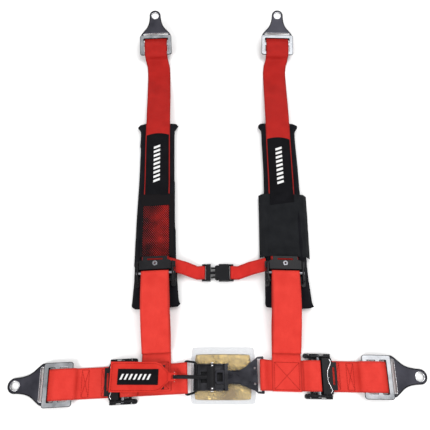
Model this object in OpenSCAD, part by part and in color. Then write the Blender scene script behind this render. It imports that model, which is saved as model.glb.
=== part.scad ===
// Four-point racing harness, laid out flat on its back.
// X runs along the lap belt, Y runs up towards the shoulder anchors, Z is up.
// The origin is the middle of the footprint, on the surface the harness lies on.
// A strap frame has its own x across the strap and y along it, out to the anchor,
// and starts at the crossbar of that strap's adjuster.

/* [Webbing] */
// Width of the shoulder and lap webbing
web_w = 50; // [48:1:51]
// Thickness of the webbing
web_t = 1.6; // [1.2:0.1:1.6]
// Width of the chest webbing
chest_w = 25; // [20:1:26]

/* [Layout] */
// Crossbar of the left shoulder adjuster, X
left_x = -113; // [-116:1:-110]
// Crossbar of the right shoulder adjuster, X
right_x = 122; // [119:1:124]
// Crossbars of the shoulder adjusters, Y
shoulder_y = -196; // [-200:1:-192]
// How far the left shoulder strap turns outwards, degrees
left_turn = 2.8; // [2:0.1:3.2]
// How far the right shoulder strap turns outwards, degrees
right_turn = 1.5; // [1:0.1:2]
// Middle of the lap belt at the buckle, Y
belt_y = -372; // [-374:1:-370]
// How far the ends of the shoulder straps curl up, degrees
end_curl = 10; // [8:1:10]

/* [Anchor plates] */
// Thickness of the anchor plate
plate_t = 3; // [2.5:0.1:3]
// Bolt hole radius
bolt_r = 7.25; // [5:0.25:7.5]
// Distance from the slot bar to the bolt hole
bolt_reach = 55.5; // [52:0.5:58]
// Width of the plate at its slot
plate_w = 67; // [66:1:68]
// How much steeper the shoulder plates stand than their slides, degrees
plate_lift = 7; // [4:1:10]
// How far the lap plates droop to the surface, degrees
plate_droop = 2.5; // [1:0.5:2.5]

/* [Three-bar slides] */
// Length of the slide along the strap
slide_l = 49; // [48:1:50]
// Width of the slide across the strap
slide_w = 70.6; // [70:0.2:72]

/* [Adjusters] */
// Width of the adjuster over its flanges
adj_w = 73; // [72:1:75]
// Radius of the crossbar
cross_r = 3; // [2.5:0.1:3]

/* [Pads] */
// Thickness of the shoulder pads
pad_t = 16; // [14:0.5:16]
// Length of the shoulder pads
pad_l = 394; // [388:1:396]

/* [Hidden] */

$fn = 48;
gap = 0.2;
half_t = web_t / 2;
layer = web_t + gap;

// Strap numbers: 0 shoulder left, 1 shoulder right, 2 lap left, 3 lap right
shoulder_turn = [left_turn, -right_turn];
lap_turn = [92.9, -91];
base_z = [19.8, 19.8, 1.9, 1.9];
hinge_y = [552, 552, 128, 118.5];
hinge_z = [17.4, 17.4, 5, 5];
curl = [end_curl, end_curl, 0, 0];
plate_rise = [end_curl + plate_lift, end_curl + plate_lift, -plate_droop, -plate_droop];
plate_shift = [0, 0, 2, -2];
lap_x = [-160, 170];
lap_y = [-378.5, -370];

red = [0.86, 0.22, 0.19];
deep_red = [0.66, 0.11, 0.09];
black = [0.09, 0.09, 0.11];
slate = [0.22, 0.22, 0.26];
silver = [0.80, 0.81, 0.82];

module strap_frame(i) {
    x = i < 2 ? (i == 0 ? left_x : right_x) : lap_x[i - 2];
    y = i < 2 ? shoulder_y : lap_y[i - 2];
    turn = i < 2 ? shoulder_turn[i] : lap_turn[i - 2];
    translate([x, y, 0]) rotate([0, 0, turn]) children();
}

// Webbing: a band of even thickness along a path of [along, height] points
function unit(v) = v / norm(v);
function side_of(p, i) =
    let (d = unit(p[min(i + 1, len(p) - 1)] - p[max(i - 1, 0)])) [-d.y, d.x];
function band(p, t) = concat(
    [for (i = [0 : len(p) - 1]) p[i] + side_of(p, i) * t / 2],
    [for (i = [len(p) - 1 : -1 : 0]) p[i] - side_of(p, i) * t / 2]);
function arc(c, r, a0, a1, n = 9) =
    [for (i = [0 : n]) let (a = a0 + (a1 - a0) * i / n) c + r * [cos(a), sin(a)]];
function lifted(p, z) = [for (q = p) q + [0, z]];

module ribbon(path, w = web_w, t = web_t) {
    translate([-w / 2, 0, 0])
        rotate([90, 0, 90])
            linear_extrude(w) polygon(band(path, t));
}

// ---- ends: anchor plate, slide and the webbing threaded through them ----
// End points are [out, up] from the slot bar, in the plane of the slide
bar_loop_r = 4.0;
slide_low = 5;
slide_t = 2.5;
sewn_end = -71;
end_path = concat(
    [[sewn_end, -bar_loop_r], [-40, -bar_loop_r], [-4, -bar_loop_r]],
    arc([0, 0], bar_loop_r, -90, 90, 10),
    [[-4.5, 4.05], [-7.5, 5.4], [-10.5, 7.4], [-13.5, 8.9], [-18, 9.4], [-28, 9.7],
     [-38, 9.3], [-44, 8.5], [-47, 6.8], [-48.3, 4.2], [-49.3, 1.4], [-51.5, -0.9],
     [-55, -2.0], [-60, -2.2], [sewn_end, -2.2]]);
function at_end(i, p) = let (c = curl[i])
    [hinge_y[i] + p.x * cos(c) - p.y * sin(c), hinge_z[i] + p.x * sin(c) + p.y * cos(c)];

// Where the fixed strap meets the adjuster: its run lies over its own sewn tail
function fixed_loop(z0) = lifted(concat(
    [[40, 0.8], [31, 0.8], [27, 1.6], [23.5, 3.4], [19, 3.5]],
    arc([15.5, 1.25], 2.25, 90, 270, 8),
    [[20, -1], [38, -1]]), z0);

shoulder_run = [[470, 1.5], [460, 1.6], [445, 3.6], [425, 7], [405, 11], [390, 12.8],
    [370, 14.4], [352, 16.2], [340, 17.2], [200, 17.2], [60, 17.2], [50, 18.4]];
function strap_path(i) = concat(
    [for (p = end_path) at_end(i, p)], i < 2 ? shoulder_run : [], fixed_loop(base_z[i]));

module strap(i) {
    color(i < 2 ? deep_red : red)
        strap_frame(i) ribbon(strap_path(i));
}

module end_frame(i, rise) {
    strap_frame(i)
        translate([0, hinge_y[i], hinge_z[i]])
            rotate([rise, 0, 0]) children();
}

// Anchor plate: slot bar, slot, shoulders that sweep in, and a round bolt tab
slot_l = 55;
slot_out = 13;
bar_half = 2.5;
tab_r = 12.5;
module plate_outline() {
    half = plate_w / 2;
    difference() {
        union() {
            translate([0, bolt_reach]) circle(tab_r);
            polygon([[-half + 3, -bar_half], [half - 3, -bar_half], [half, 0.5], [half, 9],
                [half - 2.2, 13], [26, 19.5], [20.2, 26], [16.2, 33], [13.7, 42], [tab_r, 52],
                [tab_r, bolt_reach], [-tab_r, bolt_reach], [-tab_r, 52], [-13.7, 42],
                [-16.2, 33], [-20.2, 26], [-26, 19.5], [-half + 2.2, 13], [-half, 9],
                [-half, 0.5]]);
        }
        translate([-slot_l / 2, bar_half]) square([slot_l, slot_out - bar_half]);
        translate([0, bolt_reach]) circle(bolt_r);
    }
}
module plate(i) {
    color(slate)
        end_frame(i, plate_rise[i])
            translate([plate_shift[i], 0, -plate_t / 2])
                linear_extrude(plate_t) plate_outline();
}

slide_out = 5.5;
bar_w = 8;
module slide(i) {
    wide = slide_w - 2 * bar_w;
    color(silver)
        end_frame(i, curl[i])
            translate([0, slide_out - slide_l, slide_low])
                linear_extrude(slide_t)
                    difference() {
                        rounded(slide_w, slide_l, 4);
                        translate([-wide / 2, slide_l - bar_w - 10.5]) square([wide, 10.5]);
                        translate([-wide / 2, bar_w]) square([wide, 14.5]);
                    }
}
// Rectangle centred in x, from y = 0 to l, with round corners
module rounded(w, l, r) {
    corners = [[w / 2 - r, r, -90], [w / 2 - r, l - r, 0], [r - w / 2, l - r, 90], [r - w / 2, r, 180]];
    polygon([for (c = corners) each arc([c.x, c.y], r, c.z, c.z + 90, 5)]);
}

// ---- adjusters ----
// Adjuster points are [along, up] from the underside of the frame below the crossbar
cross_z = 7.7;
wrap_r = cross_r + 0.3 + half_t;
wall_x = 30.5;
wall_t = 2;
frame_t = 2.5;
frame_out = 23;
frame_in = -14;
arm_in = -24;
pin_y = 12;
pin_z = 8;
pin_r = 1.5;
rivet_r = 2;

module across(x0, x1) {
    translate([x0, 0, 0]) rotate([90, 0, 90]) linear_extrude(x1 - x0) children();
}
module adjuster_frame(i) {
    flange = adj_w / 2;
    color(black)
        strap_frame(i) translate([0, 0, base_z[i]]) {
            difference() {
                union() {
                    linear_extrude(frame_t) difference() {
                        translate([-flange, frame_in]) square([adj_w, frame_out - frame_in]);
                        translate([-27, -10]) square([54, 14]);
                        translate([-27, 10.5]) square([54, 4.5]);
                    }
                    for (s = [-1, 1]) {
                        translate([s * (flange - 4), arm_in + 4, 0])
                            linear_extrude(frame_t) circle(4);
                        translate([s * (flange - 4) - 4, arm_in + 4, 0])
                            cube([8, frame_in - arm_in, frame_t]);
                    }
                }
                for (s = [-1, 1]) {
                    translate([s * 34.7, -14, -1]) cylinder(h = 4, r = 1.2);
                    translate([s * 34.7 - 1.1, 4, -1]) cube([2.2, 8, 4]);
                }
            }
            for (s = [-1, 1]) difference() {
                across(s > 0 ? wall_x : -wall_x - wall_t, s > 0 ? wall_x + wall_t : -wall_x)
                    polygon([[arm_in + 6, frame_t], [arm_in + 6, 8], [-12, 12.5], [17, 13],
                        [21.5, 10], [frame_out, frame_t]]);
                translate([0, 0, cross_z]) rotate([0, 90, 0])
                    cylinder(h = 80, r = rivet_r + 0.1, center = true);
                translate([0, pin_y, pin_z]) rotate([0, 90, 0])
                    cylinder(h = 80, r = pin_r + 0.1, center = true);
            }
        }
}
module crossbar(i) {
    color(silver)
        strap_frame(i) translate([0, 0, base_z[i] + cross_z]) rotate([0, 90, 0]) {
            cylinder(h = 2 * wall_x - 0.6, r = cross_r, center = true);
            cylinder(h = 2 * (wall_x + wall_t) + 0.6, r = rivet_r, center = true);
            for (s = [-1, 1])
                translate([0, 0, s * (wall_x + wall_t + 0.8)])
                    cylinder(h = 1, r = 2.6, center = true);
        }
}

lever_z = 9.6;
lever_t = 1.9;
lever_w = 58;
lip_w = 45;
lip_out = 30.5;
lever_in = 6.6;
module lever(i) {
    flat = [[-lever_w / 2, lever_in], [lever_w / 2, lever_in], [lever_w / 2, 22],
        [lip_w / 2, 24], [lip_w / 2, lip_out], [-lip_w / 2, lip_out], [-lip_w / 2, 24],
        [-lever_w / 2, 22]];
    color(black)
        strap_frame(i) translate([0, 0, base_z[i]]) {
            translate([0, 0, lever_z]) linear_extrude(lever_t) difference() {
                polygon(flat);
                translate([-14, 23.4]) square([28, 3.4]);
                if (i < 2) translate([0, 17.5]) circle(2.7);
            }
            for (s = [-1, 1])
                across(s > 0 ? 27 : -29, s > 0 ? 29 : -27) {
                    translate([pin_y, pin_z]) circle(3);
                    translate([pin_y - 3, pin_z]) square([6, lever_z - pin_z + 0.5]);
                }
            translate([0, pin_y, pin_z]) rotate([0, 90, 0])
                cylinder(h = 2 * (wall_x + wall_t) + 1, r = pin_r, center = true);
        }
}

// Return spring: a bent wire that lies against the lever, above it on the lap belt
wire_t = 1.4;
spring_half = [[6.8, 14.4], [10, 15.5], [20, 20.3], [24, 20.8], [27, 18]];
module spring(i) {
    z = i < 2 ? lever_z - wire_t - 0.15 : lever_z + lever_t + 0.1;
    left = [for (k = [len(spring_half) - 1 : -1 : 0]) [-spring_half[k].x, spring_half[k].y]];
    color(silver)
        strap_frame(i) translate([0, 0, base_z[i] + z])
            linear_extrude(wire_t) polygon(band(concat(left, spring_half), wire_t));
}
module grommet(i) {
    color(silver)
        strap_frame(i) translate([0, 17.5, base_z[i] + lever_z - 0.1])
            rotate_extrude()
                polygon([[1.6, 0], [2.6, 0], [2.6, 2.15], [4.6, 2.15], [4.6, 2.55],
                    [4, 3], [2.2, 3], [1.6, 2.5]]);
}

// ---- webbing from the buckle side, round the crossbar and back as a tail ----
belt_z = [0, 0, 2.75, 2.75];
sewn_z = 4.6;
tail_turn = [-136, 9.6];
function around(i, r = wrap_r) = arc([0, base_z[i] + cross_z], r, -90, 90, 10);
function tail_path(i) = concat(
    [[-199, sewn_z], [-146, sewn_z], [-140, 3.6], [-120, 3.2], [-100, 4.6], [-85, 9],
     [-76, 13.2], [-69, 16.6], [-62, 18], [-50, 19], [-38, 20.8], [-28, 22.4],
     [-20, base_z[i] + 3.6], [-6, base_z[i] + 3.6]],
    around(i),
    [[-6, 31.8], [-20, 34], [-35, 36.4], [-55, 37.2], [-75, 34.6], [-95, 29], [-115, 20.6],
     [-130, 13.7]],
    arc(tail_turn, 1.4, 116, 290, 6),
    [[-121, 15]]);
module tail(i) {
    color(red) strap_frame(i) ribbon(tail_path(i));
}

loop_at = [-105, -94.5];
loop_z = [9.6, 12.75];
loop_wire = 1.9;
link_bar = 2.2;
// Points beside the loop, from its bar: under it, then over it
under_bar = [[[35, 0.9], [20, 1.0], [11, 2.6], [5.5, 5.4]], [[35, 0.9], [13, 0.9], [9, 2.4], [5, 6.5]]];
over_bar = [[[6, 10.8], [12, 6.6], [18, 3.6], [24, 2.75]], [[4, 15], [8, 9.5], [12, 5.2], [15.5, 2.8]]];
function buckle_loop(i) =
    let (c = [loop_at[i - 2], loop_z[i - 2]], r = (i == 2 ? loop_wire + 0.4 : link_bar + 0.9) + half_t)
    concat([for (q = under_bar[i - 2]) q + [c.x, 0]],
        arc(c, r, -50, -270, 12),
        [for (q = over_bar[i - 2]) q + [c.x, 0]]);
function belt_path(i) = concat(
    buckle_loop(i),
    [[-50, belt_z[i]], [-27, belt_z[i]], [-21, 3.9], [-16, 5.4], [-12, base_z[i] + 3.6],
     [-5, base_z[i] + 3.6]],
    around(i),
    [[-6, 13.6], [-11, 13.2], [-15, 11.8], [-18, 9.6], [-21, 7.4], [-24, 6.6]]);
module belt(i) {
    color(red) strap_frame(i) ribbon(belt_path(i));
}

// ---- pads, their sleeves and label flaps ----
pad_in = -62;
module pad(i) {
    half = 39;
    out = pad_in + pad_l;
    right = [[46.5, pad_in + 4], [43.8, pad_in + 14], [43.6, pad_in + 60], [41.6, pad_in + 160],
        [half + 0.6, pad_in + 260], [half, out - 30], [half + 1, out - 18], [45.5, out - 9],
        [42, out - 2], [36, out]];
    left = [for (k = [len(right) - 1 : -1 : 0]) [-right[k].x, right[k].y]];
    color(black)
        strap_frame(i) translate([i == 0 ? -1.5 : 2.5, 0, 0]) linear_extrude(pad_t)
            polygon(concat([[-40, pad_in], [40, pad_in]], right, left));
}
// A sleeve lies over the pad and the webbing, and rises where the webbing does
sleeve_run = [[161, 19], [66, 19], [54, 20.6], [44, 22.3], [33, 22.4]];
module sleeve(i) {
    color(black)
        strap_frame(i) translate([i == 0 ? 0 : 2.5, 0, 0])
            ribbon(sleeve_run, i == 0 ? 66 : 88, 1.2);
}
module label(i) {
    low = i == 0 ? 164 : 163;
    long = i == 0 ? 128 : 120;
    color(black)
        strap_frame(i) translate([0, low, 18.3]) linear_extrude(1.1) {
            translate([-23, 0]) square([46, long - 5]);
            intersection() {
                translate([0, long - 60]) circle(60);
                translate([-23, 0]) square([46, long]);
            }
        }
}

// ---- chest strap and its side-release buckle ----
chest_y = -190;
chest_z = 6;
chest_x = 0;
bar_reach = 26.5;
socket_x = -5;
chest_bar_r = 1.6;
module chest_frame() {
    translate([chest_x, chest_y, chest_z]) children();
}
// side -1 leaves the plug to the left, side 1 leaves the socket to the right
chest_turn = [15.5, 14.5];
chest_fold = 12;
chest_reach = [84, 54];
// Round the bar square to it, then a run that turns off towards the shoulder
function chest_wrap() =
    let (r = chest_bar_r + 0.3 + half_t)
    concat([[14, -1.6], [8, -2.2]], arc([0, 0], r, -60, -300, 10), [[5, 0.9], [chest_fold, 0.8]]);
function chest_run(k) = [[-3.4, 0.8], [2, 0.8], [9, 3.6], [17, 7.6], [24, 10.9], [chest_reach[k], 10.9]];
module chest_strap(side) {
    k = side < 0 ? 0 : 1;
    color(red)
        chest_frame() translate([side * bar_reach, 0, 0]) rotate([0, 0, side < 0 ? 90 : -90]) {
            ribbon(chest_wrap(), chest_w, 1.4);
            translate([0, chest_fold, 0]) rotate([0, 0, side * chest_turn[k]])
                ribbon(chest_run(k), chest_w, 1.4);
        }
}
body_w = 31;
body_t = 10;
// The end bar, with an arm at each side of the webbing
module window_end(x) {
    s = sign(x);
    translate([x, 0, 0]) difference() {
        translate([s > 0 ? -6.5 : -2.6, -body_w / 2, -3.5]) cube([9.1, body_w, 7]);
        translate([s > 0 ? -5 : -10, -13.4, -5]) cube([15, 26.8, 10]);
    }
    translate([x, 0, 0]) rotate([90, 0, 0]) cylinder(h = 28, r = chest_bar_r, center = true);
}
module chest_socket() {
    color(black) chest_frame() {
        difference() {
            union() {
                translate([socket_x, -12, -body_t / 2]) cube([25, 24, body_t]);
                translate([socket_x + 7, -body_w / 2, -body_t / 2]) cube([18, body_w, body_t]);
            }
            translate([socket_x - 1, -11.4, -3]) cube([22, 22.8, 6]);
            translate([socket_x + 1.5, -20, -2.2]) cube([11, 40, 4.4]);
        }
        window_end(bar_reach);
    }
}
module chest_plug() {
    color(black) chest_frame() {
        translate([-20, -body_w / 2, -4.5]) cube([7, body_w, 9]);
        translate([-13.5, -2, -2.5]) cube([26, 4, 5]);
        window_end(-bar_reach);
    }
}
module chest_prong(s) {
    color(black) chest_frame() {
        translate([0, 0, -1.9]) linear_extrude(3.8)
            polygon([[-12.6, s * 7], [-12.6, s * 10.6], [-6, s * 10.2], [-3, s * 10.6],
                [-2.6, s * 14.6], [2, s * 13.4], [7, s * 10.6], [7, s * 8], [-6, s * 7]]);
    }
}

// ---- latch and link buckle ----
latch_x = -12;
latch_l = 58.6;
latch_w = 43;
latch_low = 4.4;
pivot_x = 2;
pivot_z = 17;
pivot_r = 2;
rail_t = 2.2;
module latch_frame() {
    translate([latch_x, belt_y, 0]) children();
}
module up_y(y0, y1) {
    translate([0, y1, 0]) rotate([90, 0, 0]) linear_extrude(y1 - y0) children();
}
module latch_base() {
    half = latch_l / 2;
    side = latch_w / 2;
    color(slate) latch_frame() {
        difference() {
            union() {
                translate([-half, -side, latch_low]) cube([latch_l, latch_w, 2]);
                for (s = [-1, 1])
                    up_y(s > 0 ? side - rail_t : -side, s > 0 ? side : -side + rail_t)
                        polygon([[-half, latch_low], [half, latch_low], [half, 17.5],
                            [half - 6, 17.5], [half - 9, 13], [pivot_x + 6, 13],
                            [pivot_x + 4, 20], [pivot_x - 4, 20], [pivot_x - 6, 11],
                            [-half, 11]]);
                // front keeper, over and under the neck of the link
                translate([half - 6, -side, 15]) cube([5.5, latch_w, 2.8]);
                translate([half - 6, -side, latch_low]) cube([5.5, latch_w, 6.8]);
                // rear rib above the wire loop's seat
                translate([-half + 7, -side, latch_low]) cube([3, latch_w, 5.5]);
                translate([-half, -side, latch_low]) cube([2, latch_w, 4.5]);
            }
            translate([-17, -9, latch_low - 1]) cube([38, 18, 4]);
            translate([pivot_x, 0, pivot_z]) rotate([90, 0, 0])
                cylinder(h = 60, r = pivot_r + 0.1, center = true);
            // slots in the rails for the legs of the wire loop
            translate([-half + 4.4, 0, 8.4]) rotate([90, 0, 0])
                cylinder(h = 60, r = loop_wire + 0.2, center = true);
        }
    }
}
loop_half = 29.2 - loop_wire;
leg_r = 1.7;
module latch_loop() {
    // bar through the rails, two legs that splay, and the bar that holds the webbing
    seat = [latch_x - latch_l / 2 + 4.4, belt_y, 8.4];
    mid = [lap_x[0] - loop_at[0] * sin(lap_turn[0]), lap_y[0] + loop_at[0] * cos(lap_turn[0]),
        loop_z[0]];
    color(slate) {
        translate(seat) rotate([90, 0, 0])
            cylinder(h = latch_w + 8, r = loop_wire, center = true);
        translate(mid) rotate([0, 90, lap_turn[0]])
            cylinder(h = 2 * loop_half + 4, r = loop_wire, center = true);
        for (s = [-1, 1]) {
            a = seat + [0, s * (latch_w / 2 + 2.2), 0];
            b = mid + loop_half * s * [cos(lap_turn[0]), sin(lap_turn[0]), 0];
            d = b - a;
            translate(a) rotate([0, acos(d.z / norm(d)), atan2(d.y, d.x)])
                cylinder(h = norm(d), r = leg_r);
        }
    }
}
module latch_pin() {
    color(silver) latch_frame() translate([pivot_x, 0, pivot_z]) rotate([90, 0, 0]) {
        cylinder(h = latch_w + 0.6, r = pivot_r, center = true);
        for (s = [-1, 1]) translate([0, 0, s * (latch_w / 2 + 0.9)])
            cylinder(h = 1.2, r = 3, center = true);
    }
}
rod_r = 3.2;
rod_end = -57;
tag_pin_x = -61;
cam_w = 34;
module latch_lever() {
    color(black) latch_frame() {
        difference() {
            union() {
                translate([pivot_x, 0, pivot_z]) up_y(-cam_w / 2, cam_w / 2)
                    polygon([[-8.5, -3.4], [-6.5, -4.4], [3.4, -4.4], [4.6, -2], [4.6, 2],
                        [2, 4.4], [-3, 5], [-6.5, 4.4], [-8.5, 3]]);
                // hook that reaches down and forwards under the tip of the link
                translate([pivot_x, 0, pivot_z]) up_y(-4, 4)
                    polygon([[-5, -4], [1, -4], [3.6, -6.2], [9.6, -6.2], [9.6, -3.2],
                        [11.6, -3.2], [11.4, -4.6], [9.6, -7.9], [6.6, -9.8], [1, -9.8]]);
                translate([rod_end, 0, pivot_z]) rotate([0, 90, 0])
                    cylinder(h = pivot_x - 6 - rod_end, r = rod_r);
                translate([-63.5, -3, pivot_z - 1.5]) cube([8, 6, 3]);
            }
            translate([pivot_x, 0, pivot_z]) rotate([90, 0, 0])
                cylinder(h = 60, r = pivot_r + 0.12, center = true);
            translate([tag_pin_x, 0, pivot_z]) rotate([90, 0, 0])
                cylinder(h = 20, r = 0.72, center = true);
        }
    }
}
link_low = pivot_z - 5.5;
link_t = 2.5;
link_tip = 7;
link_bar_x = 87.5;
link_shift = 3.4;
module link_outline() {
    half = 10.8;
    low = link_shift - 30;
    high = link_shift + 30;
    far = link_bar_x + link_bar;
    difference() {
        union() {
            translate([link_tip + 6, -half]) square([30, 2 * half]);
            for (s = [-1, 1]) translate([link_tip + 6, s * (half - 6)]) circle(6);
            translate([link_tip, -half + 6]) square([12, 2 * half - 12]);
            polygon([[40, -half], [48, -half - 0.6], [56, -half - 3.6], [74, low + 5],
                [79, low + 1], [far - 1, low], [far, low + 2], [far, high - 2],
                [far - 1, high], [79, high - 1], [74, high - 5], [56, half + 3.6],
                [48, half + 0.6], [40, half]]);
        }
        translate([link_tip + 3.5, -7.2]) square([9.5, 14.4]);
        translate([link_bar_x - 8.5, link_shift - 26]) square([6, 52]);
        for (s = [-1, 1]) translate([74, link_shift / 2 + s * 12.6]) circle(1.8);
    }
}
module latch_link() {
    color(slate) latch_frame() {
        translate([0, 0, link_low]) linear_extrude(link_t) link_outline();
        // rolled edges along the neck
        for (s = [-1, 1]) translate([36, s * 9.6, link_low + link_t])
            rotate([0, 90, 0]) cylinder(h = 14, r = 1.1, $fn = 24);
    }
}

// ---- release tag on the end of the lever ----
tag_t = 1.4;
tag_low = pivot_z - 0.7;
tag_w = 48;
module tag_outline() {
    polygon([[-168, -tag_w / 2], [-93, -tag_w / 2], [-84, -tag_w / 2 + 3], [-76, -12], [-70, -6.8],
        [-70, 6.8], [-76, 12], [-84, tag_w / 2 - 3], [-93, tag_w / 2], [-168, tag_w / 2]]);
}
tag_rise = [[-70, pivot_z], [-106, pivot_z], [-120, pivot_z + 1.5], [-134, pivot_z + 4.4],
    [-142, pivot_z + 5], [-168, pivot_z + 5]];
module release_tag() {
    color(red) latch_frame() {
        intersection() {
            up_y(-30, 30) polygon(band(tag_rise, tag_t));
            linear_extrude(40) tag_outline();
        }
        // fork that takes the tongue of the rod between its two sides
        difference() {
            translate([-72, -6.8, pivot_z - 1.6]) cube([14.2, 13.6, 3.2]);
            translate([-66, -3.4, pivot_z - 4]) cube([20, 6.8, 8]);
            translate([tag_pin_x, 0, pivot_z]) rotate([90, 0, 0])
                cylinder(h = 20, r = 0.7, center = true);
        }
    }
}
module tag_pin() {
    color(silver) latch_frame() translate([tag_pin_x, 0, pivot_z]) rotate([90, 0, 0])
        cylinder(h = 15.5, r = 0.65, center = true);
}
module tag_label() {
    lift = tag_t / 2 + 0.1;
    color(black) latch_frame()
        intersection() {
            up_y(-12.5, 12.5) polygon(band(lifted(tag_rise, lift + 0.4), 0.8));
            translate([-155, -15, 0]) cube([67, 30, 40]);
        }
}
module tag_patch() {
    color(black) latch_frame()
        translate([-104, -19, pivot_z - 3]) cube([26, 38, 2]);
}

// ---- pad behind the buckle, in its clear sleeve ----
module buckle_pad() {
    color([0.72, 0.62, 0.38])
        translate([-39.5, -408, 0.5]) cube([96, 74, 3]);
}
module buckle_sleeve() {
    color([0.9, 0.92, 0.95, 0.5]) difference() {
        translate([-46, -415, 0]) cube([110, 93, 4]);
        translate([-40, -408.5, 0.3]) cube([120, 75, 3.4]);
    }
}

plate(0);  // plate_shoulder_left
plate(1);  // plate_shoulder_right
plate(2);  // plate_lap_left
plate(3);  // plate_lap_right
slide(0);  // slide_shoulder_left
slide(1);  // slide_shoulder_right
slide(2);  // slide_lap_left
slide(3);  // slide_lap_right
strap(0);  // strap_shoulder_left
strap(1);  // strap_shoulder_right
strap(2);  // strap_lap_left
strap(3);  // strap_lap_right
tail(0);  // tail_shoulder_left
tail(1);  // tail_shoulder_right
belt(2);  // belt_lap_left
belt(3);  // belt_lap_right
adjuster_frame(0);  // frame_shoulder_left
adjuster_frame(1);  // frame_shoulder_right
adjuster_frame(2);  // frame_lap_left
adjuster_frame(3);  // frame_lap_right
crossbar(0);  // crossbar_shoulder_left
crossbar(1);  // crossbar_shoulder_right
crossbar(2);  // crossbar_lap_left
crossbar(3);  // crossbar_lap_right
lever(0);  // lever_shoulder_left
lever(1);  // lever_shoulder_right
lever(2);  // lever_lap_left
lever(3);  // lever_lap_right
spring(0);  // spring_shoulder_left
spring(1);  // spring_shoulder_right
spring(2);  // spring_lap_left
spring(3);  // spring_lap_right
grommet(0);  // grommet_shoulder_left
grommet(1);  // grommet_shoulder_right
pad(0);  // pad_left
pad(1);  // pad_right
sleeve(0);  // sleeve_left
sleeve(1);  // sleeve_right
label(0);  // label_left
label(1);  // label_right
chest_strap(-1);  // chest_strap_left
chest_strap(1);  // chest_strap_right
chest_plug();
chest_prong(-1);  // chest_prong_front
chest_prong(1);  // chest_prong_back
chest_socket();
latch_base();
latch_loop();
latch_pin();
latch_lever();
latch_link();
release_tag();
tag_label();
tag_pin();
tag_patch();
buckle_pad();
buckle_sleeve();
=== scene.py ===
import math

import bmesh
import bpy
import numpy as np
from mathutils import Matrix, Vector


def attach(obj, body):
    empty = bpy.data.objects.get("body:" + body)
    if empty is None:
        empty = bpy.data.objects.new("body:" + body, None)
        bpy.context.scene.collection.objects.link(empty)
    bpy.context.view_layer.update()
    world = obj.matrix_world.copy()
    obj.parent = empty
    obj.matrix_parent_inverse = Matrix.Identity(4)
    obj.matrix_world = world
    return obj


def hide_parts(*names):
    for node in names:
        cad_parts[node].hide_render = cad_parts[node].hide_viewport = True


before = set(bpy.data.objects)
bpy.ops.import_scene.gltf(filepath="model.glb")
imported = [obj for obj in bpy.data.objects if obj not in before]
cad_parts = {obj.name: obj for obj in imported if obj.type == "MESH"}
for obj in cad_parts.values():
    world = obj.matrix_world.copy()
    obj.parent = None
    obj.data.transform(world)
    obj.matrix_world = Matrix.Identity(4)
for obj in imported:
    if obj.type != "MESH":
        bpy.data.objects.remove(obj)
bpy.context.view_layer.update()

mm = 0.001
fullTurn = 6.2832

# camera
view = {"place": (-0.005, -0.407, 0.817), "tilt": 22.3, "lens": 37.67, "sensor": 36}
cameraData = bpy.data.cameras.new("camera")
cameraData.lens = view["lens"]
cameraData.sensor_width = view["sensor"]
camera = bpy.data.objects.new("camera", cameraData)
camera.location = view["place"]
camera.rotation_euler = (math.radians(view["tilt"]), 0, 0)
bpy.context.scene.collection.objects.link(camera)
bpy.context.scene.camera = camera
print("camera set")


# shader helpers
def put(tree, kind, props=None, **values):
    # one node, with its properties and the constants on its sockets
    node = tree.nodes.new(kind)
    for key, value in (props or {}).items():
        setattr(node, key, value)
    for key, value in values.items():
        numbered = key[0] == "i" and key[1:].isdigit()
        node.inputs[int(key[1:]) if numbered else key.replace("_", " ")].default_value = value
    return node


def wire(tree, source, target):
    tree.links.new(source, target)


def calc(tree, kind, a, b=None, clamp=False):
    # a Math node whose inputs are sockets or numbers
    node = tree.nodes.new("ShaderNodeMath")
    node.operation = kind
    node.use_clamp = clamp
    for slotNumber, value in enumerate((a, b)):
        if value is None:
            continue
        if isinstance(value, (int, float)):
            node.inputs[slotNumber].default_value = value
        else:
            tree.links.new(value, node.inputs[slotNumber])
    return node.outputs[0]


def blendColour(tree, factor, a, b, kind="MIX"):
    node = tree.nodes.new("ShaderNodeMix")
    node.data_type = "RGBA"
    node.blend_type = kind
    for socket, value in ((node.inputs[0], factor), (node.inputs[6], a), (node.inputs[7], b)):
        if isinstance(value, (int, float)):
            socket.default_value = value
        elif isinstance(value, (tuple, list)):
            socket.default_value = (*value[:3], 1)
        else:
            tree.links.new(value, socket)
    return node.outputs[2]


def newGroup(name, inputs, outputs):
    group = bpy.data.node_groups.new(name, "ShaderNodeTree")
    for label, kind, value in inputs:
        socket = group.interface.new_socket(label, in_out="INPUT", socket_type=kind)
        if value is not None:
            socket.default_value = value
    for label, kind in outputs:
        group.interface.new_socket(label, in_out="OUTPUT", socket_type=kind)
    return group, group.nodes.new("NodeGroupInput"), group.nodes.new("NodeGroupOutput")


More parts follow.
